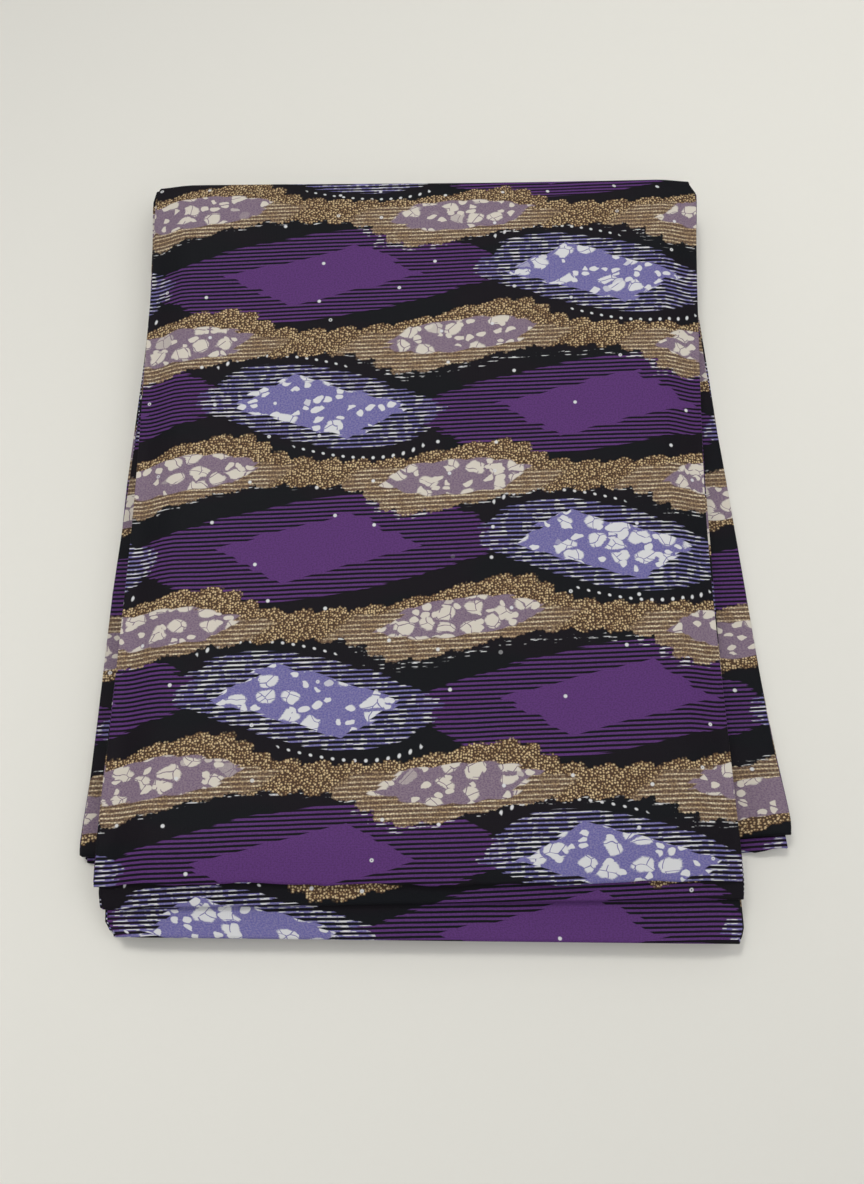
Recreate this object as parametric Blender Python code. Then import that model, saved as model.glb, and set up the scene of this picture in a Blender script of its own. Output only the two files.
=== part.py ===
"""A cut length of wax print cloth, folded into a flat packet.

The cloth is folded lengthwise into a band of four plies. The band is then folded
back and forth, and its sections lie on each other, a little apart. Both cut ends are
at the near side: one on the floor, under the packet, and one on top of it.

The near side faces -Y, the far side +Y and the top +Z. The packet lies on its first
section, whose underside is flat. Run with: blender --background --python part.py
"""

import math
from collections import namedtuple

import bmesh
import bpy

MM = 0.001

# Sizes and heights, in millimetres.
BAND_WIDTH = 292.0  # a quarter of the cloth's width of 1.17 m
BAND = 1.45  # one section: four plies of cotton
PITCH = 2.1  # from one section to the next
SIDE_BAND = 1.0  # its thickness at the two sides, where only the outer plies reach
SIDE_SQUEEZE = 0.36  # share of the pitch lost at the sides of the upper sections
FAR_FIRMNESS = 0.5  # share of that rounding which the far corners don't have
END_SQUEEZE = 0.15  # share of the pitch lost at the packet's near and far end
WIDE_SECTIONS = 3  # the lowest sections, which spread out from under the others
NEAR_DROP = 6.0  # how far the other sections come down in front of the wide ones
LIFT = 1.6  # how far the loose top end stands off the section under it
SWELL = 0.6  # soft unevenness of the top section

# Places along the packet, in millimetres from its middle.
DROP_FROM, DROP_TO = -168.0, -211.0
NEAR_ROUND = 28.0
FAR_ROUND = 20.0
SIDE_ROUND = 21.0
FIRM_REACH = 70.0
SIDE_TAPER = 18.0
NEAR_LINE, FAR_LINE = -214.0, 197.0
LIFT_REACH = 55.0

# Each turn of the band, from the cut end on the floor to the cut end on top. Odd rows
# are the far turns. y_left and y_right are the ends of its fold line, left and right
# the places of the two sides there, and the corners how far these are drawn in.
Turn = namedtuple("Turn", "y_left y_right left right left_corner right_corner")
TURNS = (
    Turn(-176.5, -171.0, -163.5, 178.5, 0.0, 0.0),
    Turn(193.0, 194.0, -151.0, 149.0, 0.0, 0.0),
    Turn(-174.5, -164.5, -166.0, 181.0, 0.8, 1.6),
    Turn(194.5, 193.5, -150.5, 148.0, 0.0, 0.0),
    Turn(-207.0, -210.5, -146.0, 149.5, 11.0, 6.5),
    Turn(192.5, 196.0, -149.5, 150.0, 0.0, 0.0),
    Turn(-210.5, -212.0, -148.0, 151.0, 11.0, 5.5),
    Turn(194.0, 195.5, -150.5, 149.5, 0.0, 0.0),
    Turn(-208.5, -213.0, -148.5, 151.8, 9.0, 3.5),
    Turn(192.0, 197.0, -151.5, 151.0, 0.0, 0.0),
    Turn(-212.4, -215.5, -149.5, 152.2, 6.5, 3.5),
    Turn(194.5, 197.5, -151.0, 151.5, 0.0, 0.0),
    Turn(-200.0, -195.5, -152.2, 153.8, 1.5, 1.0),
    Turn(194.0, 199.0, -149.5, 153.6, 0.0, 0.0),
    Turn(-191.5, -188.5, -155.3, 153.2, 0.0, 0.0),
)
SECTIONS = len(TURNS) - 1

# How far the sides draw in half way along the packet, how far along it the near corners
# reach, and how much the sides wave.
LEFT_WAIST, RIGHT_WAIST = 3.5, 6.8
LEFT_WIDE_WAIST, RIGHT_WIDE_WAIST = 1.5, 2.4
CORNER_REACH = 9.0
SIDE_WAVE = 0.5

# Where the mesh has a row of points along every section, and a column across it.
STATIONS = (-203.5, -197.5, -191.0, -183.0, -173.0, -155.0, -90.0, -10.0, 70.0, 130.0, 162.0, 178.0, 186.0)
COLUMNS = (0.0, 0.016, 0.036, 0.058, 0.082, 0.35, 0.65, 0.918, 0.942, 0.964, 0.984, 1.0)
ARC_STEPS = 4

PRINT_GROUND = (0.035, 0.02, 0.06, 1.0)
WAX_FINISH_ROUGHNESS = 0.62


def smooth(share):
    """An even ramp from 0 to 1."""
    share = min(max(share, 0.0), 1.0)
    return share * share * (3.0 - 2.0 * share)


def between(a, b, share):
    return a + (b - a) * share


def turn_y(turn, across):
    return between(turn.y_left, turn.y_right, across)


def bow(y):
    """A bow of height 1 half way along the packet and 0 at its ends."""
    half_way = (NEAR_LINE + FAR_LINE) / 2.0
    return max(0.0, 1.0 - ((y - half_way) / (FAR_LINE - half_way)) ** 2)


def near_turn(section):
    """The near one of a section's two turns."""
    return TURNS[section - 1] if section % 2 else TURNS[section]


def corner(y, near_y):
    """The share of a corner's drawing in, 1 at the near turn and 0 behind the corner."""
    return max(0.0, 1.0 - (y - near_y) / CORNER_REACH) ** 2


def drawn_in(section, y):
    """How far the left and the right side draw in at this place along the packet."""
    near = near_turn(section)
    wide = section <= WIDE_SECTIONS
    left = bow(y) * (LEFT_WIDE_WAIST if wide else LEFT_WAIST)
    right = bow(y) * (RIGHT_WIDE_WAIST if wide else RIGHT_WAIST)
    left += near.left_corner * corner(y, near.y_left)
    right += near.right_corner * corner(y, near.y_right)
    return left, right


def sides(section, y):
    """The left and the right side of a section at this place along the packet."""
    start, end = TURNS[section - 1], TURNS[section]
    start_y = turn_y(start, 0.5)
    share = (y - start_y) / (turn_y(end, 0.5) - start_y)
    left_in, right_in = drawn_in(section, y)
    left_wave = SIDE_WAVE * math.sin(y / 31.0 + 1.9 * section)
    right_wave = SIDE_WAVE * math.sin(y / 37.0 + 2.6 * section)
    left = between(start.left, end.left, share) + left_in + left_wave
    right = between(start.right, end.right, share) - right_in + right_wave
    return left, right


def side_rounding(x, y):
    """How far, from 0 to 1, the upper sections are rounded off towards the sides."""
    left = TURNS[-2].left + LEFT_WAIST * bow(y)
    right = TURNS[-1].right - RIGHT_WAIST * bow(y)
    firm = FAR_FIRMNESS * smooth(1.0 - (FAR_LINE - y) / FIRM_REACH)
    return smooth(1.0 - min(x - left, right - x) / SIDE_ROUND) * (1.0 - firm)


def pitch_at(section, x, y):
    """The rise from a section to the next one, which is less at the sides and ends."""
    side, end = 0.0, smooth(1.0 - (FAR_LINE - y) / FAR_ROUND)
    if section > WIDE_SECTIONS:
        side = side_rounding(x, y)
        end = max(end, smooth(1.0 - (y - NEAR_LINE) / NEAR_ROUND))
    return PITCH * (1.0 - SIDE_SQUEEZE * side - END_SQUEEZE * end * (1.0 - side))


def height(section, x, y):
    """The middle of a section's thickness above the floor."""
    tall = BAND / 2.0 + sum(pitch_at(below, x, y) for below in range(1, section))
    swell = math.sin(x / 52.0 + 0.7) * math.cos(y / 61.0 - 0.4)
    tall += SWELL * swell * (section - 1) / (SECTIONS - 1)
    if section > WIDE_SECTIONS:
        tall -= NEAR_DROP * smooth((y - DROP_FROM) / (DROP_TO - DROP_FROM))
    if section == SECTIONS:
        along = smooth(1.0 - (y - turn_y(TURNS[-1], 0.5)) / LIFT_REACH)
        tall += LIFT * along * (1.0 - side_rounding(x, y))
    return tall


def straight_row(section, y_of, inset=0.0):
    """One row of points across a section, y_of giving the place along it for each column.

    inset moves the row away from a turn, so that the turn's own curve can follow.
    """
    row = []
    for across in COLUMNS:
        y = y_of(across) + inset
        left, right = sides(section, y)
        x = between(left, right, across)
        row.append((x, y, height(section, x, y)))
    return row


def turn_rows(section):
    """The curve from the end of a section up into the next one."""
    outward = 1.0 if section % 2 else -1.0
    radius = PITCH / 2.0
    turn = TURNS[section]
    inside = -outward * radius
    lower = straight_row(section, lambda across: turn_y(turn, across), inside)
    upper = straight_row(section + 1, lambda across: turn_y(turn, across), inside)
    rows = []
    for step in range(ARC_STEPS + 1):
        angle = math.pi * step / ARC_STEPS
        up = (1.0 - math.cos(angle)) / 2.0
        out = outward * radius * math.sin(angle)
        row = []
        for low, high in zip(lower, upper):
            x = between(low[0], high[0], up)
            row.append((x, low[1] + out, between(low[2], high[2], up)))
        rows.append(row)
    return rows


def section_rows(section):
    """The rows of points along a section, clear of its two turns and in walking order."""
    turns = TURNS[section - 1 : section + 1]
    ends = sorted(y for turn in turns for y in (turn.y_left, turn.y_right))
    clear = 1.4 * PITCH
    places = [y for y in STATIONS if ends[1] + clear < y < ends[2] - clear]
    if section % 2 == 0:
        places.reverse()
    return [straight_row(section, lambda across, y=y: y) for y in places]


def band_rows():
    """All rows of the folded band's middle surface, from one cut end to the other."""
    rows = [straight_row(1, lambda across: turn_y(TURNS[0], across))]
    for section in range(1, SECTIONS + 1):
        rows += section_rows(section)
        if section < SECTIONS:
            rows += turn_rows(section)
    rows.append(straight_row(SECTIONS, lambda across: turn_y(TURNS[-1], across)))
    return rows


def print_material():
    material = bpy.data.materials.new("wax_print_cotton")
    material.use_nodes = True
    surface = material.node_tree.nodes["Principled BSDF"]
    surface.inputs["Base Color"].default_value = PRINT_GROUND
    surface.inputs["Roughness"].default_value = WAX_FINISH_ROUGHNESS
    surface.inputs["Metallic"].default_value = 0.0
    return material


def folded_cloth():
    rows = band_rows()
    xs = [x for row in rows for x, _, _ in row]
    ys = [y for row in rows for _, y, _ in row]
    middle_x = (min(xs) + max(xs)) / 2.0
    middle_y = (min(ys) + max(ys)) / 2.0

    mesh = bpy.data.meshes.new("folded_cloth")
    surface = bmesh.new()
    grid = [
        [surface.verts.new(((x - middle_x) * MM, (y - middle_y) * MM, z * MM)) for x, y, z in row]
        for row in rows
    ]
    for row, following in zip(grid, grid[1:]):
        for column in range(len(COLUMNS) - 1):
            corners = [row[column], row[column + 1], following[column + 1], following[column]]
            if following[column].co.y < row[column].co.y:
                # Each square is split along the same diagonal, seen from above.
                corners.insert(0, corners.pop())
            surface.faces.new(corners[:3])
            surface.faces.new((corners[0], corners[2], corners[3]))
    surface.verts.index_update()
    in_column = [[row[column].index for row in grid] for column in range(len(COLUMNS))]
    surface.to_mesh(mesh)
    surface.free()
    mesh.materials.append(print_material())

    cloth = bpy.data.objects.new("folded_cloth", mesh)
    bpy.context.scene.collection.objects.link(cloth)
    fullness = cloth.vertex_groups.new(name="fullness")
    for across, points in zip(COLUMNS, in_column):
        to_side = min(across, 1.0 - across) * BAND_WIDTH
        share = smooth(to_side / SIDE_TAPER)
        fullness.add(points, between(SIDE_BAND, BAND, share) / BAND, "REPLACE")
    plies = cloth.modifiers.new("four plies", "SOLIDIFY")
    plies.thickness = BAND * MM
    plies.offset = 0.0
    plies.vertex_group = fullness.name
    return cloth


for old in list(bpy.data.objects):
    bpy.data.objects.remove(old, do_unlink=True)
folded_cloth()
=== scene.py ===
"""The looks of a folded length of wax print cloth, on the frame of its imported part.

The whole cloth is one thin sheet. Its width is folded into four plies, and this band is
folded back and forth. The print is drawn by nodes on the cloth's own flat coordinates.
"""

import math
from collections import namedtuple

import bpy
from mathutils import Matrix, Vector


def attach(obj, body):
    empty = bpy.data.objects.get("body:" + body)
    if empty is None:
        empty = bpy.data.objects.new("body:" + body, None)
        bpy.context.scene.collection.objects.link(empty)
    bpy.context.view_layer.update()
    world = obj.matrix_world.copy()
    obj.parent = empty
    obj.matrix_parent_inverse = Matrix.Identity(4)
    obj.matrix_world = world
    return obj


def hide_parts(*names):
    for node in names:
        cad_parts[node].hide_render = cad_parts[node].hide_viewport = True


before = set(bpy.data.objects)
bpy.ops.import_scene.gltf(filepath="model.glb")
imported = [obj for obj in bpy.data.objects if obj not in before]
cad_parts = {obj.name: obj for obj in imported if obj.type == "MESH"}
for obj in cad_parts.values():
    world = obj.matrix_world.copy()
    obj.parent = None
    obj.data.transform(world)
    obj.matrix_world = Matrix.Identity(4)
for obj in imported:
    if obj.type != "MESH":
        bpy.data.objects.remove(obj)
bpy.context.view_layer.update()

MM = 0.001

# The cloth, in millimetres.
CLOTH_WIDTH, CLOTH_LENGTH = 1170.0, 5540.0
THREAD_THICKNESS = 0.22
BAND_WIDTH = 292.0
BAND, SIDE_BAND = 1.45, 1.0
PLY_STEP = (BAND - THREAD_THICKNESS) / 3.0
SIDE_PLY_STEP = (SIDE_BAND - THREAD_THICKNESS) / 3.0

# The folds, in millimetres, as in the part's solid.
PITCH = 2.1
SIDE_SQUEEZE, FAR_FIRMNESS, END_SQUEEZE = 0.36, 0.5, 0.15
WIDE_SECTIONS = 3
NEAR_DROP, LIFT, SWELL = 6.0, 1.6, 0.6
DROP_FROM, DROP_TO = -168.0, -211.0
NEAR_ROUND, FAR_ROUND, SIDE_ROUND, FIRM_REACH, SIDE_TAPER = 28.0, 20.0, 21.0, 70.0, 18.0
NEAR_LINE, FAR_LINE = -214.0, 197.0
LIFT_REACH = 55.0
LEFT_WAIST, RIGHT_WAIST = 3.5, 6.8
LEFT_WIDE_WAIST, RIGHT_WIDE_WAIST = 1.5, 2.4
CORNER_REACH = 9.0
SIDE_WAVE = 0.5
MIDDLE_X, MIDDLE_Y = 6.74, -8.25  # the packet's middle, which lies on the part's origin

# The wide sections' free near corners, which stand off the floor, and the squashed far
# corners. The part's solid has neither.
LEFT_WING_RISE, RIGHT_WING_RISE = 2.5, 6.0
WING_FROM, WING_REACH = 150.0, 26.0
WING_NEAR_FROM, WING_NEAR_REACH = -110.0, 60.0
LEFT_FAR_CORNER, RIGHT_FAR_CORNER, FAR_CORNER_REACH = 1.6, 4.4, 8.0

# Each turn of the band, from the cut end on the floor to the cut end on top, as in the
# part's solid. y_left and y_right are the ends of its fold line, left and right the places
# of the two sides there, and the corners how far these are drawn in.
Turn = namedtuple("Turn", "y_left y_right left right left_corner right_corner")
TURNS = (
    Turn(-176.5, -171.0, -163.5, 178.5, 0.0, 0.0),
    Turn(193.0, 194.0, -151.0, 149.0, 0.0, 0.0),
    Turn(-174.5, -164.5, -166.0, 181.0, 0.8, 1.6),
    Turn(194.5, 193.5, -150.5, 148.0, 0.0, 0.0),
    Turn(-207.0, -210.5, -146.0, 149.5, 11.0, 6.5),
    Turn(192.5, 196.0, -149.5, 150.0, 0.0, 0.0),
    Turn(-210.5, -212.0, -148.0, 151.0, 11.0, 5.5),
    Turn(194.0, 195.5, -150.5, 149.5, 0.0, 0.0),
    Turn(-208.5, -213.0, -148.5, 151.8, 9.0, 3.5),
    Turn(192.0, 197.0, -151.5, 151.0, 0.0, 0.0),
    Turn(-212.4, -215.5, -149.5, 152.2, 6.5, 3.5),
    Turn(194.5, 197.5, -151.0, 151.5, 0.0, 0.0),
    Turn(-200.0, -195.5, -152.2, 153.8, 1.5, 1.0),
    Turn(194.0, 199.0, -149.5, 153.6, 0.0, 0.0),
    Turn(-191.5, -188.5, -155.3, 153.2, 0.0, 0.0),
)
SECTIONS = len(TURNS) - 1

# The four quarters of the cloth's width. level is the place in the band's thickness, in
# plies from its middle. retreat is how far the selvedge stays inside the right side, and
# the cuts how far the top and the bottom cut end stay behind the longest ply.
Quarter = namedtuple("Quarter", "level rightwards retreat columns top_cut bottom_cut")
QUARTERS = (
    Quarter(-0.5, False, 7.0, 20, 2.2, 1.8),
    Quarter(-1.5, True, 0.0, 48, 0.0, 1.2),
    Quarter(1.5, False, 0.0, 24, 2.8, 0.6),
    Quarter(0.5, True, 9.5, 20, 1.4, 0.0),
)
PANEL_QUARTER = 1  # the one whose ply is the panel

# The folds along the band's sides. The two small ones, at the left, stay a little inside
# the band's side. Near both sides, the slip between the plies fades out.
SMALL_FOLD_STEPS, OUTER_FOLD_STEPS = 4, 6
FOLD_BULGE = 1.3
FIRST_FOLD_IN, LAST_FOLD_IN, FOLD_IN_REACH = 0.45, 0.9, 26.0
SLIP_REACH = 25.0

# The two cut ends, uneven as cut by hand. name is that of the quarters' number for it.
Cut = namedtuple("Cut", "name ragged phase")
TOP_CUT, BOTTOM_CUT = Cut("top_cut", 0.25, 0.4), Cut("bottom_cut", 0.6, 2.6)
CUT_REACH = 40.0

# Columns across a quarter, in millimetres from each side, and rows along a section, in
# millimetres from its near and its far turn.
SIDE_STEPS = (0.0, 1.4, 3.2, 5.6, 9.0, 13.0, 18.0, 24.0)
NEAR_STEPS = (3.0, 7.0, 12.0, 18.0, 26.0, 38.0, 70.0)
TOP_END_STEPS = (0.0, 1.5, 3.5, 6.5, 10.0)
FAR_STEPS = (3.0, 8.0, 14.0, 24.0, 45.0)
MIDDLE_ROWS = 3
PANEL_ROW = 5.2
ARC_STEPS = 6

# The pixels that a baked image gives a millimetre of cloth, across and along it. Most go
# to what shows from above, and no step between two columns or rows gets too few.
QUARTER_DETAIL = (0.42, 1.6, 0.95, 0.42)
PANEL_DETAIL, WING_DETAIL, UNDERSIDE_DETAIL, HIDDEN_DETAIL = 1.9, 0.3, 0.2, 0.06
LEAST_PIXELS = 0.45
STEP_SHOWS_TO = -180.0  # how far back the section under the panel counts as shown


def smooth(share):
    """An even ramp from 0 to 1."""
    share = min(max(share, 0.0), 1.0)
    return share * share * (3.0 - 2.0 * share)


def between(a, b, share):
    return a + (b - a) * share


def turn_y(turn, across):
    return between(turn.y_left, turn.y_right, across)


def bow(y):
    """A bow of height 1 half way along the packet and 0 at its ends."""
    half_way = (NEAR_LINE + FAR_LINE) / 2.0
    return max(0.0, 1.0 - ((y - half_way) / (FAR_LINE - half_way)) ** 2)


def near_turn(section):
    """The near one of a section's two turns."""
    return TURNS[section - 1] if section % 2 else TURNS[section]


def far_turn(section):
    return TURNS[section] if section % 2 else TURNS[section - 1]


def corner(y, near_y):
    """The share of a near corner's drawing in, 1 at the turn and 0 behind the corner."""
    return max(0.0, 1.0 - (y - near_y) / CORNER_REACH) ** 2


def far_corner(y, far_y):
    """The share of a far corner's drawing in, 1 at the turn and 0 before the corner."""
    return max(0.0, 1.0 - (far_y - y) / FAR_CORNER_REACH)


def drawn_in(section, y):
    """How far the left and the right side draw in at this place along the packet."""
    near, far = near_turn(section), far_turn(section)
    wide = section <= WIDE_SECTIONS
    left = bow(y) * (LEFT_WIDE_WAIST if wide else LEFT_WAIST)
    right = bow(y) * (RIGHT_WIDE_WAIST if wide else RIGHT_WAIST)
    left += near.left_corner * corner(y, near.y_left)
    right += near.right_corner * corner(y, near.y_right)
    left += LEFT_FAR_CORNER * far_corner(y, far.y_left)
    right += RIGHT_FAR_CORNER * far_corner(y, far.y_right)
    return left, right


def sides(section, y):
    """The left and the right side of a section at this place along the packet."""
    start, end = TURNS[section - 1], TURNS[section]
    start_y = turn_y(start, 0.5)
    share = (y - start_y) / (turn_y(end, 0.5) - start_y)
    left_in, right_in = drawn_in(section, y)
    left_wave = SIDE_WAVE * math.sin(y / 31.0 + 1.9 * section)
    right_wave = SIDE_WAVE * math.sin(y / 37.0 + 2.6 * section)
    left = between(start.left, end.left, share) + left_in + left_wave
    right = between(start.right, end.right, share) - right_in + right_wave
    return left, right


def side_rounding(x, y):
    """How far, from 0 to 1, the upper sections are rounded off towards the sides."""
    left = TURNS[-2].left + LEFT_WAIST * bow(y)
    right = TURNS[-1].right - RIGHT_WAIST * bow(y)
    firm = FAR_FIRMNESS * smooth(1.0 - (FAR_LINE - y) / FIRM_REACH)
    return smooth(1.0 - min(x - left, right - x) / SIDE_ROUND) * (1.0 - firm)


def wing_rise(x, y):
    """How far the free near corners of the wide sections stand off the floor."""
    free = smooth((abs(x) - WING_FROM) / WING_REACH) * smooth((WING_NEAR_FROM - y) / WING_NEAR_REACH)
    return free * (RIGHT_WING_RISE if x > 0.0 else LEFT_WING_RISE)


def height(section, x, y):
    """The middle of a section's thickness above the floor."""
    side, far = side_rounding(x, y), smooth(1.0 - (FAR_LINE - y) / FAR_ROUND)
    near = smooth(1.0 - (y - NEAR_LINE) / NEAR_ROUND)
    wide = min(section - 1, WIDE_SECTIONS)
    upper = section - 1 - wide
    end = max(far, near)
    tall = BAND / 2.0 + PITCH * wide * (1.0 - END_SQUEEZE * far)
    tall += PITCH * upper * (1.0 - SIDE_SQUEEZE * side - END_SQUEEZE * end * (1.0 - side))
    swell = math.sin(x / 52.0 + 0.7) * math.cos(y / 61.0 - 0.4)
    tall += SWELL * swell * (section - 1) / (SECTIONS - 1)
    if section <= WIDE_SECTIONS:
        tall += wing_rise(x, y)
    else:
        tall -= NEAR_DROP * smooth((y - DROP_FROM) / (DROP_TO - DROP_FROM))
    if section == SECTIONS:
        along = smooth(1.0 - (y - turn_y(TURNS[-1], 0.5)) / LIFT_REACH)
        tall += LIFT * along * (1.0 - side)
    return tall


def ply_step(across):
    """From one ply to the next, which is less at the sides of the band."""
    to_side = min(across, 1.0 - across) * BAND_WIDTH
    return between(SIDE_PLY_STEP, PLY_STEP, smooth(to_side / SIDE_TAPER))


def columns_of(quarter):
    """The places across a quarter, from 0 at the left to 1 at the right, in walking order."""
    inner = quarter.columns - 2 * len(SIDE_STEPS)
    first, last = SIDE_STEPS[-1], BAND_WIDTH - SIDE_STEPS[-1]
    places = list(SIDE_STEPS)
    places += [between(first, last, (k + 1) / (inner + 1)) for k in range(inner)]
    places += [BAND_WIDTH - step for step in reversed(SIDE_STEPS)]
    if quarter.retreat:
        end = BAND_WIDTH - quarter.retreat
        places = [place for place in places if place < end - 1.0] + [end]
    places = [place / BAND_WIDTH for place in places]
    return places if quarter.rightwards else places[::-1]


# A point of the band's outline, seen from its end. out is how far it stands proud of the
# side in a fold, along the share of the cloth's width up to it, and part the quarter.
Point = namedtuple("Point", "across out level along part")


def band_outline():
    """The four plies as one line, from the first quarter's selvedge to the last one's."""
    points = []
    along = 0.0
    for number, quarter in enumerate(QUARTERS):
        if number:
            before = QUARTERS[number - 1]
            across = 1.0 if before.rightwards else 0.0
            steps = OUTER_FOLD_STEPS if before.rightwards else SMALL_FOLD_STEPS
            rise = quarter.level - before.level
            radius = abs(rise) / 2.0 * SIDE_PLY_STEP
            for step in range(1, steps):
                angle = math.pi * step / steps
                level = before.level + rise * (1.0 - math.cos(angle)) / 2.0
                out = FOLD_BULGE * radius * math.sin(angle)
                reach = along + math.pi * radius * step / steps
                points.append(Point(across, out, level, reach, number - 0.5))
            along += math.pi * radius
        columns = columns_of(quarter)
        for across in columns:
            reach = along + abs(across - columns[0]) * BAND_WIDTH
            points.append(Point(across, 0.0, quarter.level, reach, float(number)))
        along += abs(columns[-1] - columns[0]) * BAND_WIDTH
    return [point._replace(along=point.along / along) for point in points]


OUTLINE = band_outline()


def fold_in(section, part, y):
    """How far a small fold at the left stays inside the band's side, unevenly along it."""
    if part < 1.5:
        return FIRST_FOLD_IN * (1.0 + math.sin(y / 43.0 + 2.1 * section))
    return LAST_FOLD_IN * (1.0 + math.sin(y / 57.0 + 1.3 * section + 2.0))


def side_place(section, point, y):
    """The place from left to right of a point of the outline, in a section."""
    left, right = sides(section, y)
    to_left = smooth(1.0 - point.across * BAND_WIDTH / FOLD_IN_REACH)
    outward = point.out if point.across > 0.5 else -point.out
    return between(left, right, point.across) + outward + to_left * fold_in(section, point.part, y)


# Soft troughs and ridges of the top layer. Each runs from one end to the other, in
# millimetres on the packet, and rise is its height at its middle. It fades out over a
# share of its length, from a little beyond its ends, and wanders to both sides. The plies
# under the panel's own follow a share of it.
Crease = namedtuple("Crease", "x1 y1 x2 y2 width rise")
CREASE_FADE, CREASE_BEYOND, CREASE_WANDER = 0.5, 0.15, 3.0
UNDER_PLY_CREASE = 0.25
CREASES = (
    Crease(-120.0, 60.0, -20.0, 95.0, 14.0, 0.55),
    Crease(-60.0, -30.0, 70.0, -48.0, 18.0, 0.5),
    Crease(60.0, 120.0, 135.0, 70.0, 13.0, 0.6),
    Crease(-135.0, -95.0, -60.0, -120.0, 12.0, 0.6),
    Crease(20.0, -130.0, 120.0, -112.0, 15.0, 0.6),
    Crease(-30.0, 150.0, 60.0, 160.0, 12.0, 0.45),
    Crease(95.0, 20.0, 138.0, -70.0, 10.0, 0.5),
    Crease(-128.0, 10.0, -112.0, -70.0, 8.0, 0.45),
    Crease(-90.0, -168.0, 30.0, -172.0, 10.0, 0.7),
    Crease(60.0, -170.0, 140.0, -160.0, 9.0, 0.6),
)


def crease_rise(x, y):
    """How far all creases together raise the top layer at this place."""
    total = 0.0
    for crease in CREASES:
        run_x, run_y = crease.x2 - crease.x1, crease.y2 - crease.y1
        length = math.hypot(run_x, run_y)
        share = ((x - crease.x1) * run_x + (y - crease.y1) * run_y) / length**2
        aside = ((x - crease.x1) * run_y - (y - crease.y1) * run_x) / length
        aside += CREASE_WANDER * math.sin(share * 5.0 + crease.width)
        fade_in = smooth((share + CREASE_BEYOND) / CREASE_FADE)
        fade_out = smooth((1.0 + CREASE_BEYOND - share) / CREASE_FADE)
        total += crease.rise * fade_in * fade_out * math.exp(-((aside / crease.width) ** 2))
    return total


def quarter_value(point, name):
    """A number of the quarter at this point, or midway between two quarters in a fold."""
    low, high = QUARTERS[math.floor(point.part)], QUARTERS[math.ceil(point.part)]
    return (getattr(low, name) + getattr(high, name)) / 2.0


def cut_shift(point, y, turn, cut):
    """How far the cut end of a ply stays behind that of the longest ply.

    It is uneven across the cloth, and fades out along the section.
    """
    across = point.along * CLOTH_WIDTH
    uneven = 0.5 * math.sin(across / 9.3 + cut.phase)
    uneven += 0.9 * math.sin(across / 47.0 + 2.0 * cut.phase)
    uneven += cut.ragged * math.sin(across / 4.1 + 1.0 + cut.phase)
    uneven += cut.ragged * math.sin(across / 2.3 + 3.0 * cut.phase)
    fading = smooth(1.0 - (y - turn_y(turn, point.across)) / CUT_REACH)
    return fading * (quarter_value(point, cut.name) + uneven)


def level_place(section, point, y):
    """A point of a section, with its ply's place in the band's thickness."""
    x = side_place(section, point, y)
    upward = 1.0 if section % 2 else -1.0
    z = height(section, x, y) + upward * point.level * ply_step(point.across)
    if section == SECTIONS:
        follows = 1.0 if point.part == PANEL_QUARTER else UNDER_PLY_CREASE
        z += follows * crease_rise(x, y)
    return x, y, z


def ply_slip(point):
    """How much less of this ply than of the panel's ply a far turn takes up, as a minus.

    The panel's ply goes round the outside of every far turn, and round the inside of every
    near turn, where this ply takes up as much more.
    """
    to_side = min(point.across, 1.0 - point.across) * BAND_WIDTH
    plies_between = point.level - QUARTERS[PANEL_QUARTER].level
    return -math.pi * ply_step(point.across) * plies_between * smooth(to_side / SLIP_REACH)


# A point of the folded cloth. slip is how much further along the flat cloth it lies than
# the middle of its row does, because the cut ends are uneven in a straight print and the
# plies take turns in going round the outside.
Spot = namedtuple("Spot", "x y z slip")


def section_row(section, share):
    """A row of spots across a section, share of the way from its start to its end."""
    start, end = TURNS[section - 1], TURNS[section]
    row = []
    for point in OUTLINE:
        y = between(turn_y(start, point.across), turn_y(end, point.across), share)
        slip = 0.0 if section % 2 else ply_slip(point)
        if section == SECTIONS:
            shift = cut_shift(point, y, end, TOP_CUT)
            y, slip = y + shift, slip - shift
        elif section == 1:
            shift = cut_shift(point, y, start, BOTTOM_CUT)
            y, slip = y + shift, slip + shift
        row.append(Spot(*level_place(section, point, y), slip))
    return row


def turn_rows(section):
    """The rows round the turn from the end of a section up into the next one."""
    outward = 1.0 if section % 2 else -1.0
    radius = PITCH / 2.0
    rows = []
    for step in range(ARC_STEPS + 1):
        angle = math.pi * step / ARC_STEPS
        up = (1.0 - math.cos(angle)) / 2.0
        slipped = step / ARC_STEPS if section % 2 else 1.0 - step / ARC_STEPS
        row = []
        for point in OUTLINE:
            y = turn_y(TURNS[section], point.across) - outward * radius
            low_x, high_x = (side_place(s, point, y) for s in (section, section + 1))
            low_z, high_z = height(section, low_x, y), height(section + 1, high_x, y)
            offset = -outward * point.level * ply_step(point.across)
            x = between(low_x, high_x, up)
            z = (low_z + high_z) / 2.0
            z -= ((high_z - low_z) / 2.0 + offset) * math.cos(angle)
            y += outward * (radius + offset) * math.sin(angle)
            row.append(Spot(x, y, z, slipped * ply_slip(point)))
        rows.append(row)
    return rows


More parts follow.
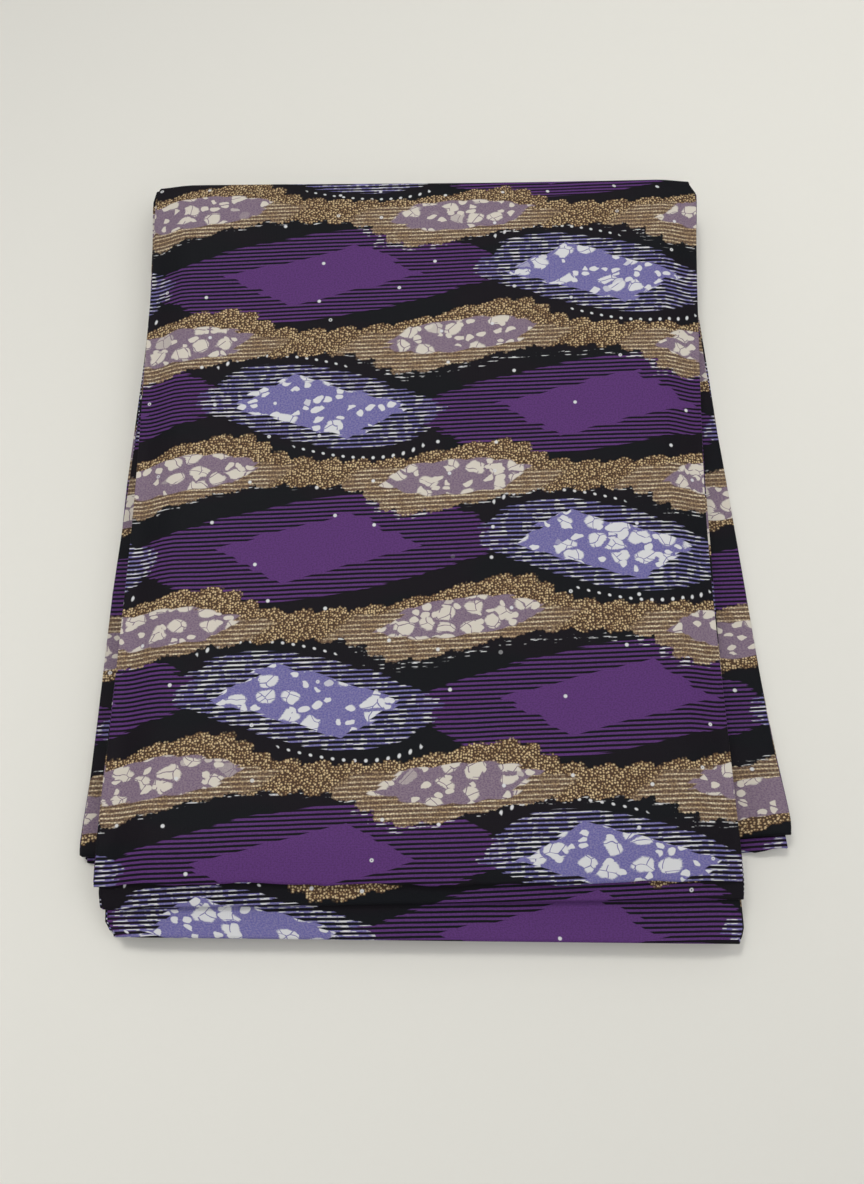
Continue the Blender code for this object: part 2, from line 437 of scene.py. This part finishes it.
def section_shares(section):
    """How far along a section each of its rows lies, in walking order."""
    near, far = sorted(turn_y(turn, 0.5) for turn in TURNS[section - 1 : section + 1])
    length = far - near
    places = list(NEAR_STEPS)
    if section == SECTIONS:
        places = list(TOP_END_STEPS)
    first, last = places[-1], length - FAR_STEPS[-1]
    count = round((last - first) / PANEL_ROW) if section == SECTIONS else MIDDLE_ROWS
    places += [between(first, last, (k + 1) / (count + 1)) for k in range(count)]
    places += [length - step for step in reversed(FAR_STEPS)]
    if section == 1:
        places.insert(0, 0.0)
    if section % 2 == 0:
        places = [length - place for place in reversed(places)]
    return [place / length for place in places]


def row_detail(section, y):
    """The pixels for a millimetre along the cloth at this place."""
    if section == SECTIONS or (section == SECTIONS - 1 and y < STEP_SHOWS_TO):
        return PANEL_DETAIL
    if section == WIDE_SECTIONS:
        return WING_DETAIL
    return UNDERSIDE_DETAIL if section == 1 else HIDDEN_DETAIL


def cloth_rows():
    """All rows of spots, and the detail of each row."""
    rows, details = [], []
    for section in range(1, SECTIONS + 1):
        added = [section_row(section, share) for share in section_shares(section)]
        if section < SECTIONS:
            added += turn_rows(section)
        rows += added
        details += [row_detail(section, row[0].y) for row in added]
    return rows, details


def bake_places(lengths, details):
    """Places from 0 to 1 on the bake's map for points that lie this far along the cloth."""
    pixels = [0.0]
    for k in range(1, len(lengths)):
        detail = max(details[k - 1], details[k])
        step = (lengths[k] - lengths[k - 1]) * detail
        pixels.append(pixels[-1] + max(step, LEAST_PIXELS))
    return [pixel / pixels[-1] for pixel in pixels]


def on_part(spot):
    """The spot in metres in the part's own frame."""
    return ((spot.x - MIDDLE_X) * MM, (spot.y - MIDDLE_Y) * MM, spot.z * MM)


def add_mesh(name, points, faces, material):
    mesh = bpy.data.meshes.new(name)
    mesh.from_pydata(points, [], faces)
    mesh.materials.append(material)
    mesh.shade_smooth()
    piece = bpy.data.objects.new(name, mesh)
    bpy.context.scene.collection.objects.link(piece)
    return piece


def row_reaches(rows):
    """How far along the cloth each row lies, measured at the middle of the panel's ply."""
    panel = [k for k, point in enumerate(OUTLINE) if point.part == PANEL_QUARTER]
    middle = next(k for k in panel if OUTLINE[k].across > 0.5)
    reaches = [0.0]
    for row, following in zip(rows, rows[1:]):
        reaches.append(reaches[-1] + math.dist(row[middle][:3], following[middle][:3]))
    return reaches


def add_flat_maps(cloth, rows, details):
    """The map of the flat cloth, in metres, for its print, and the map for a baked image."""
    widths = [point.along * CLOTH_WIDTH for point in OUTLINE]
    reaches = row_reaches(rows)
    scale = CLOTH_LENGTH / reaches[-1]
    bake_u = bake_places(widths, [QUARTER_DETAIL[round(point.part)] for point in OUTLINE])
    bake_v = bake_places(reaches, details)
    flat_map = cloth.data.uv_layers.new(name="cloth")
    bake_map = cloth.data.uv_layers.new(name="OFBake")
    for loop in cloth.data.loops:
        row, column = divmod(loop.vertex_index, len(OUTLINE))
        v = reaches[row] * scale + rows[row][column].slip
        flat_map.uv[loop.index].vector = (widths[column] * MM, v * MM)
        bake_map.uv[loop.index].vector = (bake_u[column], bake_v[row])


def wax_print_cloth(material):
    """The whole cloth as one sheet, with a column for each point of the band's outline."""
    rows, details = cloth_rows()
    across = len(OUTLINE)
    faces = [
        (start + k, start + k + 1, start + across + k + 1, start + across + k)
        for start in range(0, across * (len(rows) - 1), across)
        for k in range(across - 1)
    ]
    points = [on_part(spot) for row in rows for spot in row]
    cloth = add_mesh("wax_print_cloth", points, faces, material)
    add_flat_maps(cloth, rows, details)
    thread = cloth.modifiers.new("thickness", "SOLIDIFY")
    thread.thickness = THREAD_THICKNESS * MM
    thread.offset = 0.0
    return cloth


# The print, in millimetres on the flat cloth. Leaves lie in rows, and a ribbon runs
# between each two rows. Every row is shifted against the one before it.
ROW_STEP, REPEAT, ROW_SHIFT = 79.0, 290.0, 145.0
HATCH_STEP, HATCH_SLANT, HATCH_GAP = 2.3, 0.03, 0.42
HATCH_RAGGED = 8.0  # how far the ends of the hatch lines differ

# The leaves. middle is the place of one of them along its row. The lengths and heights
# are those from the middle to the tips, of the leaf and of the diamond in it.
Leaf = namedtuple("Leaf", "middle slant length height core_length core_height")
PURPLE_LEAF = Leaf(95.0, 1.0, 97.0, 29.0, 52.0, 19.0)
LILAC_LEAF = Leaf(240.0, -0.9, 64.0, 25.0, 46.0, 19.0)

# The row of white spots above and under each lilac leaf.
LEAF_SPOT_STEP, LEAF_SPOT_RADIUS, LEAF_SPOT_REACH = 5.2, 0.8, 34.0
LEAF_SPOTS_AT, LEAF_SPOTS_WIDE = 1.2, 24.0

# The ribbon's half width, which swells twice in a repeat, and how far it winds.
RIBBON_HALF, RIBBON_SWELLING, RIBBON_SCALLOP, SCALLOPS = 6.0, 13.5, 2.6, 19
RIBBON_THIN_AT, RIBBON_SLANT, RIBBON_WINDING = 95.0, 1.25, 2.5
GRAIN = 1.3  # from one gold dot to the next

# The stones, as shares of the size of their cells.
STONE_RADIUS, STONE_RADIUS_SPREAD, STONE_HEIGHT, STONE_UNEVEN = 0.34, 0.14, 0.72, 0.85
LEAF_STONE, LEAF_STONE_SHARE = 12.5, 0.55
RIBBON_STONE, RIBBON_STONE_SHARE, RIBBON_STONE_SHIFT = 12.0, 0.62, 40.0

# The white spots that are scattered over everything.
SPOT_STEP_U, SPOT_STEP_V, SPOT_RADIUS, SPOT_SHARE = 31.0, 22.0, 0.9, 0.5

# The print's colours, of 0 to 255 as a screen shows them.
BLACK, BLUE_BLACK = (15, 11, 18), (10, 12, 17)
PURPLE, DEEP_PURPLE = (88, 51, 111), (78, 45, 98)
GOLD, LIGHT_GOLD, BROWN = (164, 137, 98), (203, 181, 140), (74, 54, 39)
STRAW, LIGHT_STRAW, TAUPE = (180, 156, 120), (220, 205, 173), (88, 68, 56)
MAUVE, GREY_MAUVE, CREAM = (110, 92, 112), (134, 118, 130), (203, 196, 184)
LILAC, GREY_LILAC, PALE = (97, 92, 150), (126, 121, 158), (206, 206, 207)

# A mix node's sockets for colours, which share their names with those for numbers.
MIX_SHARE, MIX_UNDER, MIX_OVER, MIX_RESULT = 0, 6, 7, 2

# The cotton's weave, as a wave of two threads in 0.84 mm, and its finish.
WEAVE = 7.5
WEAVE_DEPTH, WEAVE_STRENGTH = 0.2, 0.25
COTTON_ROUGHNESS, COTTON_SHINE = 0.65, 0.12


def linear(colour):
    """A colour of 0 to 255, as a screen shows it, in Blender's linear numbers."""
    parts = [part / 255.0 for part in colour]
    parts = [part / 12.92 if part < 0.04045 else ((part + 0.055) / 1.055) ** 2.4 for part in parts]
    return (*parts, 1.0)


class Wire:
    """A number that the nodes work out at each place, used in sums like a number."""

    tree = None  # where new nodes go

    def __init__(self, socket):
        self.socket = socket

    def __add__(self, other):
        return calculate("ADD", self, other)

    def __radd__(self, other):
        return calculate("ADD", other, self)

    def __sub__(self, other):
        return calculate("SUBTRACT", self, other)

    def __rsub__(self, other):
        return calculate("SUBTRACT", other, self)

    def __mul__(self, other):
        return calculate("MULTIPLY", self, other)

    def __rmul__(self, other):
        return calculate("MULTIPLY", other, self)

    def __truediv__(self, other):
        return calculate("DIVIDE", self, other)


def give(socket, value):
    """Links a wire to the socket, or sets a plain number or colour on it."""
    if isinstance(value, Wire):
        Wire.tree.links.new(value.socket, socket)
    else:
        socket.default_value = value


def calculate(operation, *values):
    node = Wire.tree.nodes.new("ShaderNodeMath")
    node.operation = operation
    for socket, value in zip(node.inputs, values):
        give(socket, value)
    return Wire(node.outputs[0])


def size_of(value):
    return calculate("ABSOLUTE", value)


def whole(value):
    return calculate("FLOOR", value)


def part_of(value):
    return calculate("FRACT", value)


def wave(value):
    return calculate("SINE", value)


def both(*masks):
    """1 where all of the masks are 1."""
    result = masks[0]
    for mask in masks[1:]:
        result = calculate("MINIMUM", result, mask)
    return result


def ramp(value, low, high):
    """0 up to low, 1 from high, and smooth between them. high may be the lower one."""
    node = Wire.tree.nodes.new("ShaderNodeMapRange")
    node.interpolation_type = "SMOOTHSTEP"
    give(node.inputs["Value"], value)
    flipped = high < low
    node.inputs["From Min"].default_value = high if flipped else low
    node.inputs["From Max"].default_value = low if flipped else high
    node.inputs["To Min"].default_value = 1.0 if flipped else 0.0
    node.inputs["To Max"].default_value = 0.0 if flipped else 1.0
    return Wire(node.outputs["Result"])


def inside(value, edge, softness):
    """1 where the value is under the edge, and 0 above it."""
    return ramp(value, edge + softness, edge - softness)


def place(x, y):
    node = Wire.tree.nodes.new("ShaderNodeCombineXYZ")
    give(node.inputs["X"], x)
    give(node.inputs["Y"], y)
    return Wire(node.outputs["Vector"])


def split(vector):
    node = Wire.tree.nodes.new("ShaderNodeSeparateXYZ")
    give(node.inputs["Vector"], vector)
    return Wire(node.outputs["X"]), Wire(node.outputs["Y"])


def chance(*numbers):
    """A random number from 0 to 1, the same wherever the one or two numbers are."""
    node = Wire.tree.nodes.new("ShaderNodeTexWhiteNoise")
    node.noise_dimensions = "2D" if len(numbers) > 1 else "1D"
    if len(numbers) > 1:
        give(node.inputs["Vector"], place(*numbers))
    else:
        give(node.inputs["W"], numbers[0])
    return Wire(node.outputs["Value"])


def cloud(x, y, detail=1.0):
    """Soft blots from 0 to 1, about one unit wide."""
    node = Wire.tree.nodes.new("ShaderNodeTexNoise")
    node.noise_dimensions = "2D"
    give(node.inputs["Vector"], place(x, y))
    node.inputs["Scale"].default_value = 1.0
    node.inputs["Detail"].default_value = detail
    return Wire(node.outputs["Fac"])


def cells(x, y, feature="F1", uneven=1.0):
    """The outputs of a pattern of cells, about one unit wide."""
    node = Wire.tree.nodes.new("ShaderNodeTexVoronoi")
    node.voronoi_dimensions = "2D"
    node.feature = feature
    give(node.inputs["Vector"], place(x, y))
    node.inputs["Scale"].default_value = 1.0
    node.inputs["Randomness"].default_value = uneven
    return node.outputs


def paint(under, colour, mask):
    """The colour laid over what is under it, where the mask is 1."""
    node = Wire.tree.nodes.new("ShaderNodeMix")
    node.data_type = "RGBA"
    give(node.inputs[MIX_SHARE], mask)
    for socket, value in ((MIX_UNDER, under), (MIX_OVER, colour)):
        give(node.inputs[socket], value if isinstance(value, Wire) else linear(value))
    return Wire(node.outputs[MIX_RESULT])


def in_rows(u, v, offset):
    """The place along a row, before it is cut into repeats, and above its middle."""
    row = whole(v / ROW_STEP + offset)
    return u + row * ROW_SHIFT, v - (row + (0.5 - offset)) * ROW_STEP


def from_middle(along, middle):
    """How far right of the middle of the nearest motif, whose repeats are all alike."""
    return (part_of((along - middle) / REPEAT + 0.5) - 0.5) * REPEAT


def leaf_shape(along, up, leaf):
    """1 at the edge of the leaf, and less inside it."""
    share = from_middle(along + leaf.slant * up, leaf.middle) / leaf.length
    return size_of(up) / leaf.height + share * share


def core_shape(along, up, leaf):
    """1 at the edge of the diamond in the leaf, and less inside it."""
    slanted = from_middle(along + leaf.slant * up, leaf.middle)
    return size_of(up) / leaf.core_height + size_of(slanted) / leaf.core_length


def ribbon_depth(u, v):
    """0 on the gold ribbon's middle line, and 1 and -1 at its two edges. Also its swelling."""
    along, up = in_rows(u, v, 0.0)
    slanted = along + RIBBON_SLANT * up
    turn = 2.0 * math.pi / REPEAT
    swell = 0.5 - 0.5 * wave(slanted * (2.0 * turn) + (math.pi / 2.0 - 2.0 * turn * RIBBON_THIN_AT))
    scallop = size_of(wave(slanted * (math.pi * SCALLOPS / REPEAT)))
    half = RIBBON_HALF + RIBBON_SWELLING * swell * swell + RIBBON_SCALLOP * scallop
    middle = RIBBON_WINDING * wave(along * turn + 0.4)
    return (up - middle) / half, swell


def stones(u, v, size, share, rough):
    """Rounded stones, some of them left out."""
    x, y = u / size, v / (STONE_HEIGHT * size)
    edge = Wire(cells(x, y, "DISTANCE_TO_EDGE", STONE_UNEVEN)["Distance"])
    stone = cells(x, y, uneven=STONE_UNEVEN)
    kept, larger = split(Wire(stone["Color"]))
    from_centre = Wire(stone["Distance"]) + rough - STONE_RADIUS_SPREAD * larger
    round_off = inside(from_centre, STONE_RADIUS, 0.05)
    return both(ramp(edge - rough, 0.06, 0.13), round_off, inside(kept, share, 0.01))


def pebbles(u, v, size, share):
    """Large stones with cracks in them, and small ones strewn between."""
    bend = 4.0 * cloud(u / 8.0, v / 8.0)
    rough = 0.1 * (cloud(u / 1.1, v / 0.8, 2.0) - 0.5)
    x, y = u + bend, v - bend
    crack = Wire(cells(x / 7.0, y / 6.0, "DISTANCE_TO_EDGE")["Distance"])
    large = both(stones(x, y, size, share, rough), ramp(crack, 0.015, 0.05))
    small = stones(x + 9.0, y, 0.45 * size, 0.3, rough)
    return calculate("MAXIMUM", large, small)


def loose_spots(u, v, step_u, step_v, radius, share):
    """Round spots on some of the places of a loose grid, and a few rings."""
    cell_u, cell_v = whole(u / step_u), whole(v / step_v)
    shift = chance(cell_u + 0.5, cell_v + 0.5)
    other = chance(cell_v + 0.5, cell_u + 7.5)
    from_u = u - (cell_u + 0.25 + 0.5 * shift) * step_u
    from_v = v - (cell_v + 0.25 + 0.5 * other) * step_v
    away = calculate("SQRT", from_u * from_u + from_v * from_v)
    spot = both(inside(away, radius, 0.3), ramp(away + other * 1.4, 0.3, 0.7))
    return both(spot, inside(part_of(shift * 7.3 + other * 3.1), share, 0.01))


def spot_row(u, v, step, radius):
    """An even row of spots along v = 0."""
    from_u = (part_of(u / step) - 0.5) * step
    return inside(calculate("SQRT", from_u * from_u + v * v), radius, 0.3)


# What the nodes know of each place on the flat cloth. along and up are its place in its
# row of leaves, and loose is along with the raggedness of its hatch line. line numbers the
# hatch lines, stripe and thin_stripe are on them, and dashes is on parts of them.
Ground = namedtuple("Ground", "u v along up uneven loose line stripe thin_stripe dashes mottle")


def print_ground(u, v):
    along, up = in_rows(u, v, 0.5)
    hatch = (v + HATCH_SLANT * u + 0.8 * cloud(u / 45.0, v / 45.0)) / HATCH_STEP
    line = whole(hatch)
    uneven = HATCH_RAGGED * (chance(line + 0.5) - 0.5)
    from_line = size_of(part_of(hatch) - 0.5)
    edge = 0.5 * HATCH_GAP + 0.06 * cloud(u / 3.0, v / 1.5)
    return Ground(
        u=u,
        v=v,
        along=along,
        up=up,
        uneven=uneven,
        loose=along + uneven,
        line=line,
        stripe=ramp(from_line - edge, -0.03, 0.05),
        thin_stripe=ramp(from_line - edge, 0.03, 0.11),
        dashes=ramp(cloud(u / 5.5, line * 3.7 + 0.5, 2.0), 0.5, 0.64),
        mottle=cloud(u / 0.9, v / 0.7, 2.0),
    )


def leaf_masks(ground, leaf):
    """Where the leaf is, and where the diamond in it is."""
    in_leaf = inside(leaf_shape(ground.loose, ground.up, leaf), 1.0, 0.01)
    return in_leaf, both(in_leaf, inside(core_shape(ground.loose, ground.up, leaf), 1.0, 0.01))


def paint_purple_leaves(colour, ground):
    """Purple leaves, hatched around a solid middle."""
    in_leaf, in_core = leaf_masks(ground, PURPLE_LEAF)
    purple = paint(PURPLE, DEEP_PURPLE, ramp(ground.mottle, 0.35, 0.7))
    colour = paint(colour, purple, both(in_leaf, ground.stripe))
    return paint(colour, purple, in_core)


def paint_lilac_leaves(colour, ground):
    """Lilac leaves, hatched with broken pale lines around a pebbled middle."""
    in_leaf, in_core = leaf_masks(ground, LILAC_LEAF)
    lilac = paint(LILAC, GREY_LILAC, ramp(ground.mottle, 0.28, 0.8))
    colour = paint(colour, lilac, both(in_leaf, ground.thin_stripe))
    colour = paint(colour, PALE, both(in_leaf, ground.thin_stripe, ground.dashes))
    colour = paint(colour, lilac, in_core)
    stone = pebbles(ground.u, ground.v, LEAF_STONE, LEAF_STONE_SHARE)
    return paint(colour, PALE, both(in_core, stone))


def paint_leaf_spots(colour, ground):
    """A row of pale spots above and under each lilac leaf."""
    leaf = LILAC_LEAF
    aside = (leaf_shape(ground.along, ground.up, leaf) - LEAF_SPOTS_AT) * LEAF_SPOTS_WIDE
    from_leaf = size_of(from_middle(ground.along + leaf.slant * ground.up, leaf.middle))
    spots = spot_row(ground.u, aside, LEAF_SPOT_STEP, LEAF_SPOT_RADIUS)
    return paint(colour, PALE, both(spots, inside(from_leaf, LEAF_SPOT_REACH, 0.5)))


def paint_pale_lines(colour, ground):
    """Broken pale lines, which come out from under one rim of the ribbons here and there."""
    depth, _ = ribbon_depth(ground.loose, ground.v)
    beyond = both(ramp(depth, 0.9, 0.95), inside(depth, 1.14, 0.03))
    return paint(colour, PALE, both(beyond, ground.thin_stripe, ground.dashes))


def paint_ribbons(colour, ground):
    """Ribbons of whole gold dots, which are hatched in straw but for one rim."""
    grain = cells(ground.u / GRAIN, ground.v / GRAIN, uneven=0.8)
    grain_u, grain_v = split(Wire(grain["Position"]))
    shade, _ = split(Wire(grain["Color"]))
    between_dots = ramp(Wire(grain["Distance"]) + 0.16 * shade, 0.2, 0.55)
    depth, swell = ribbon_depth(grain_u * GRAIN, grain_v * GRAIN)
    in_ribbon = inside(size_of(depth), 1.0, 0.02)
    dotted = paint(paint(GOLD, LIGHT_GOLD, ramp(shade, 0.9, 0.1)), BROWN, between_dots)
    colour = paint(colour, dotted, in_ribbon)
    hatched = both(in_ribbon, ramp(depth, -0.5, -0.34), ramp(swell, 0.1, 0.2))
    colour = paint(colour, paint(TAUPE, STRAW, (1.0 - between_dots) * 0.3), hatched)
    bright = ramp(cloud(ground.u / 9.0, ground.line * 2.9 + 0.5, 2.0), 0.42, 0.56)
    straw = paint(paint(STRAW, LIGHT_STRAW, bright), TAUPE, between_dots * 0.6)
    return paint(colour, straw, both(hatched, ground.thin_stripe))


def paint_ribbon_middles(colour, ground):
    """The mauve middles of the ribbons, with pale stones."""
    depth, swell = ribbon_depth(ground.u + ground.uneven * 0.7, ground.v)
    middle = both(inside(size_of(depth), 0.5, 0.02), ramp(swell, 0.55, 0.58))
    mauve = paint(MAUVE, GREY_MAUVE, ramp(ground.mottle, 0.28, 0.75))
    colour = paint(colour, mauve, middle)
    stone = pebbles(ground.u + RIBBON_STONE_SHIFT, ground.v, RIBBON_STONE, RIBBON_STONE_SHARE)
    return paint(colour, CREAM, both(middle, stone))


def paint_scattered_spots(colour, ground):
    spots = loose_spots(ground.u, ground.v, SPOT_STEP_U, SPOT_STEP_V, SPOT_RADIUS, SPOT_SHARE)
    return paint(colour, PALE, spots)


# The painters in their order, each over what the ones before it have laid.
PAINTERS = (
    paint_purple_leaves,
    paint_lilac_leaves,
    paint_leaf_spots,
    paint_pale_lines,
    paint_ribbons,
    paint_ribbon_middles,
    paint_scattered_spots,
)


def print_colour(u, v):
    """The whole print, on its black ground."""
    ground = print_ground(u, v)
    colour = paint(BLACK, BLUE_BLACK, ramp(cloud(u / 70.0, v / 30.0), 0.42, 0.6))
    for painter in PAINTERS:
        colour = painter(colour, ground)
    return colour


def print_material():
    """Plain weave cotton with the print on it and a little wax finish."""
    material = bpy.data.materials.new("wax_print_cotton")
    material.use_nodes = True
    Wire.tree = material.node_tree
    surface = material.node_tree.nodes["Principled BSDF"]
    flat = material.node_tree.nodes.new("ShaderNodeUVMap")
    flat.uv_map = "cloth"
    u, v = split(Wire(flat.outputs["UV"]))
    u, v = u * (1.0 / MM), v * (1.0 / MM)
    weave = both(wave(u * WEAVE) * 0.5 + 0.5, wave(v * WEAVE) * 0.5 + 0.5)
    give(surface.inputs["Base Color"], print_colour(u, v))
    surface.inputs["Roughness"].default_value = COTTON_ROUGHNESS
    surface.inputs["Specular IOR Level"].default_value = COTTON_SHINE
    bump = material.node_tree.nodes.new("ShaderNodeBump")
    bump.inputs["Strength"].default_value = WEAVE_STRENGTH
    bump.inputs["Distance"].default_value = WEAVE_DEPTH * MM
    give(bump.inputs["Height"], weave + cloud(u / 0.9, v / 0.9))
    give(surface.inputs["Normal"], Wire(bump.outputs["Normal"]))
    return material


cloth = wax_print_cloth(print_material())
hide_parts("folded_cloth")
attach(cloth, "root")


# The floor, the light and the camera.
FLOOR_SIZE = 6.0
FLOOR_COLOUR, FLOOR_ROUGHNESS = (0.735, 0.72, 0.665), 0.9
Lamp = namedtuple("Lamp", "name x y z wide deep spread power colour")
LAMPS = (
    Lamp("window", -0.62, 1.25, 3.0, 2.8, 0.34, 30.0, 3.15, (1.0, 0.99, 0.96)),
    Lamp("room", 0.95, -0.4, 1.8, 1.6, 1.6, 180.0, 11.0, (0.97, 0.985, 1.0)),
)
AIM = Vector((0.1, 0.14, 0.0))
SKY_COLOUR, SKY_STRENGTH = (1.0, 1.0, 1.0), 0.52
CAMERA_PLACE = (-0.0013, -0.2481, 0.6416)
CAMERA_DOWN = 71.19  # degrees below level, as fitted to the photograph
LENS, SENSOR = 39.53, 36.0


def floor_material():
    material = bpy.data.materials.new("floor")
    material.use_nodes = True
    surface = material.node_tree.nodes["Principled BSDF"]
    surface.inputs["Base Color"].default_value = (*FLOOR_COLOUR, 1.0)
    surface.inputs["Roughness"].default_value = FLOOR_ROUGHNESS
    return material


def add_floor():
    half = FLOOR_SIZE / 2.0
    corners = [(-half, -half, 0.0), (half, -half, 0.0), (half, half, 0.0), (-half, half, 0.0)]
    add_mesh("floor", corners, [(0, 1, 2, 3)], floor_material())


def add_lights():
    world = bpy.data.worlds.new("sky")
    world.use_nodes = True
    background = world.node_tree.nodes["Background"]
    background.inputs["Color"].default_value = (*SKY_COLOUR, 1.0)
    background.inputs["Strength"].default_value = SKY_STRENGTH
    bpy.context.scene.world = world
    for lamp in LAMPS:
        light = bpy.data.lights.new(lamp.name, "AREA")
        light.shape = "RECTANGLE"
        light.size, light.size_y = lamp.wide, lamp.deep
        light.spread = math.radians(lamp.spread)
        light.energy, light.color = lamp.power, lamp.colour
        holder = bpy.data.objects.new(lamp.name, light)
        holder.location = (lamp.x, lamp.y, lamp.z)
        holder.rotation_euler = (AIM - holder.location).to_track_quat("-Z", "Y").to_euler()
        bpy.context.scene.collection.objects.link(holder)


def add_camera():
    lens = bpy.data.cameras.new("camera")
    lens.lens, lens.sensor_width = LENS, SENSOR
    camera = bpy.data.objects.new("camera", lens)
    camera.location = CAMERA_PLACE
    camera.rotation_euler = (math.radians(90.0 - CAMERA_DOWN), 0.0, 0.0)
    bpy.context.scene.collection.objects.link(camera)
    bpy.context.scene.camera = camera


add_floor()
add_lights()
add_camera()
bpy.context.scene.view_settings.view_transform = "Standard"
